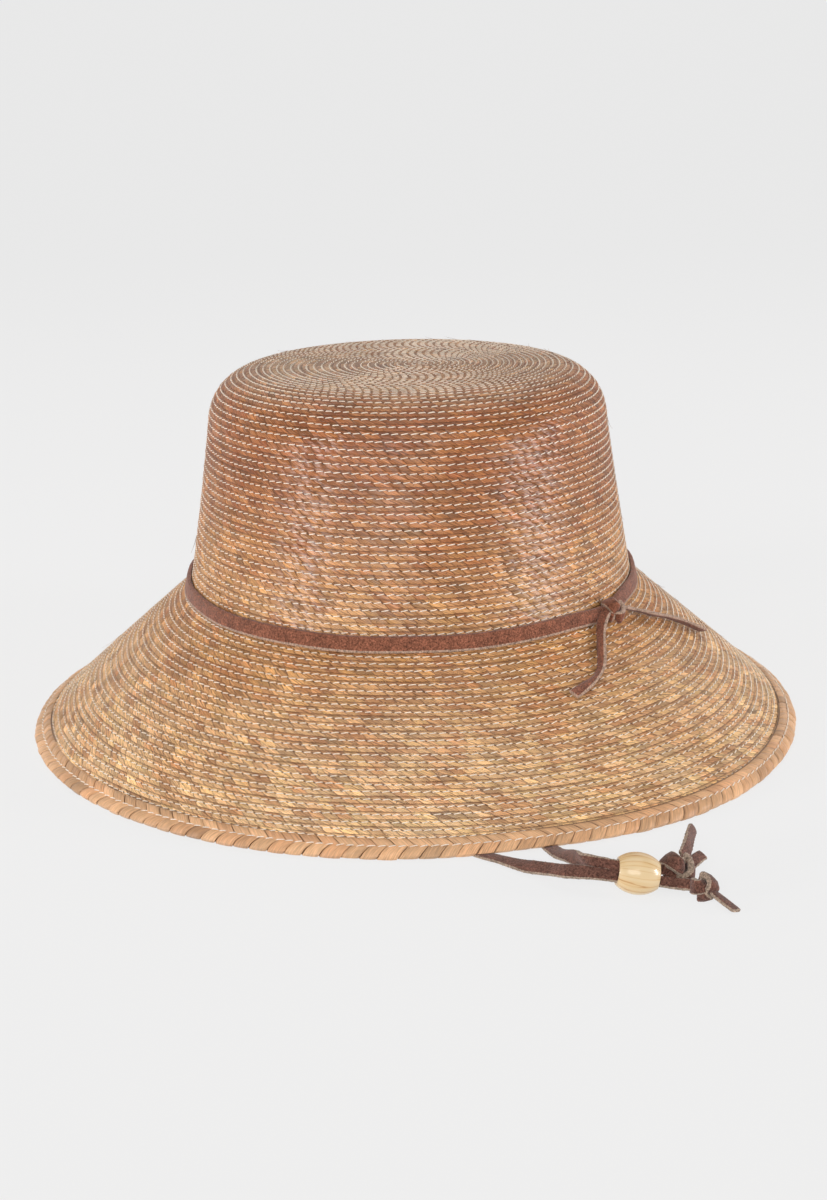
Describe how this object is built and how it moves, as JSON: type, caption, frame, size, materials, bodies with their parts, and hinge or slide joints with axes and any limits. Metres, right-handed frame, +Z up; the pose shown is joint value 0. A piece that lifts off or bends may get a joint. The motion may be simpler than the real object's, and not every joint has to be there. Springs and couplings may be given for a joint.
{
  "type": "straw sun hat",
  "caption": "Sewn palm-braid sun hat with a flat-topped crown, a wide sloping brim, a leather lace hatband and a leather chin lace with a sliding wooden bead.",
  "frame": {"origin": "centre of the rim of the brim, on the surface that the hat stands on", "axes": "+Z up through the crown; the wearer faces -Y; +X is the wearer's left"},
  "size_m": [0.3084, 0.3542, 0.1417],
  "materials": {
    "straw": "matte",
    "straw_edge": "matte",
    "thread": "matte",
    "sweatband_cloth": "matte",
    "hatband_leather": "suede",
    "lace_leather": "suede",
    "bead_wood": "satin"
  },
  "bodies": {
    "hat": {"crown_tip": "straw", "crown_wall": "straw", "brim": "straw", "edge_braid": "straw_edge", "edge_thread": "thread", "sweatband": "sweatband_cloth", "anchor_tab_left": "sweatband_cloth", "anchor_tab_right": "sweatband_cloth", "anchor_knot_left": "lace_leather", "anchor_knot_right": "lace_leather", "chin_lace_left": "lace_leather", "chin_lace_right": "lace_leather", "stopper_knot_left": "lace_leather", "stopper_knot_right": "lace_leather", "stopper_tail_long": "lace_leather", "stopper_tail_short": "lace_leather", "stopper_tail_end": "lace_leather"},
    "hatband": {"hatband": "hatband_leather", "hatband_knot": "hatband_leather", "hatband_tail_front": "hatband_leather", "hatband_tail_side": "hatband_leather"},
    "bead": {"bead": "bead_wood"}
  },
  "joints": [
    {"name": "hatband_lift", "type": "slide", "parent": "hat", "child": "hatband", "axis": [0, 0, 1], "range_m": [0, 0.09]},
    {"name": "bead_slide", "type": "slide", "parent": "hat", "child": "bead", "axis": [-0.9861, -0.02, 0.1652], "range_m": [0, 0.007]}
  ]
}
